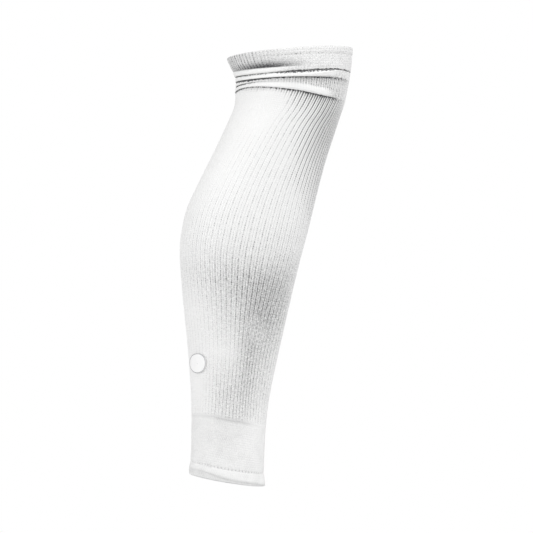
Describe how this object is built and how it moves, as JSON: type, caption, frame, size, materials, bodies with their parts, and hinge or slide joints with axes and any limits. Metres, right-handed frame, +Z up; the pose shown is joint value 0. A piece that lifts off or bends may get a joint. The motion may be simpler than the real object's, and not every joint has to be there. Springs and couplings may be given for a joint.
{
  "type": "soccer leg sleeve",
  "caption": "Ribbed knit sleeve worn on the lower leg from below the knee to the ankle, with gathers behind the knee, a plain ankle zone, a sewn hem and a round badge.",
  "frame": {"origin": "on the leg's axis at the fullest part of the calf, inside the sleeve, where the sleeve sits on the leg", "axes": "+Z up along the sleeve, +X towards the shin, -Y towards the side that carries the badge"},
  "size_m": [0.1557, 0.1112, 0.3926],
  "materials": {
    "rib_knit": "matte white rib knit",
    "plain_knit": "matte white plain knit",
    "badge_film": "satin white heat-pressed film"
  },
  "bodies": {
    "root": {"knee_cuff": "rib_knit", "ribbed_leg": "rib_knit", "ankle_cuff": "plain_knit", "bottom_hem": "plain_knit", "round_badge": "badge_film"}
  },
  "joints": []
}
